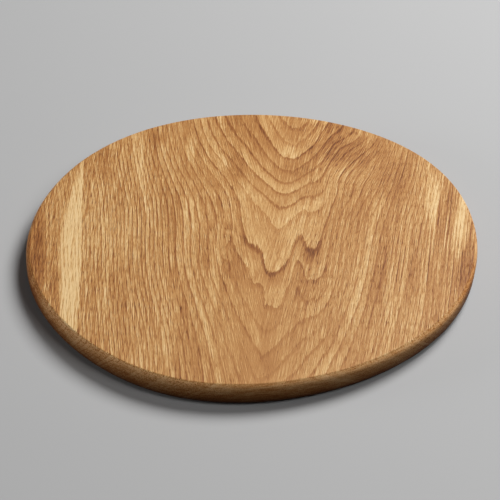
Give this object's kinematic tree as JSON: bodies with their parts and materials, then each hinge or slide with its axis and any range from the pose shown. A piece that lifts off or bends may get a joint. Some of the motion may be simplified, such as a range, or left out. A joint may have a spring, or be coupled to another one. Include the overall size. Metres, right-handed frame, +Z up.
{
  "type": "serving board",
  "caption": "Flat pebble-shaped serving board cut from solid oak, with a hand-worked upper edge, a rounded lower edge and a plain flat underside.",
  "frame": {"origin": "centre of the board's box, on the underside that it rests on", "axes": "+X across the grain, along the board's widest extent; +Y along the grain, away from the viewer of the picture; +Z up, through the thickness"},
  "size_m": [0.4, 0.382, 0.023],
  "materials": {
    "oak": "oiled, satin"
  },
  "bodies": {
    "root": {"board": "oak"}
  },
  "joints": []
}
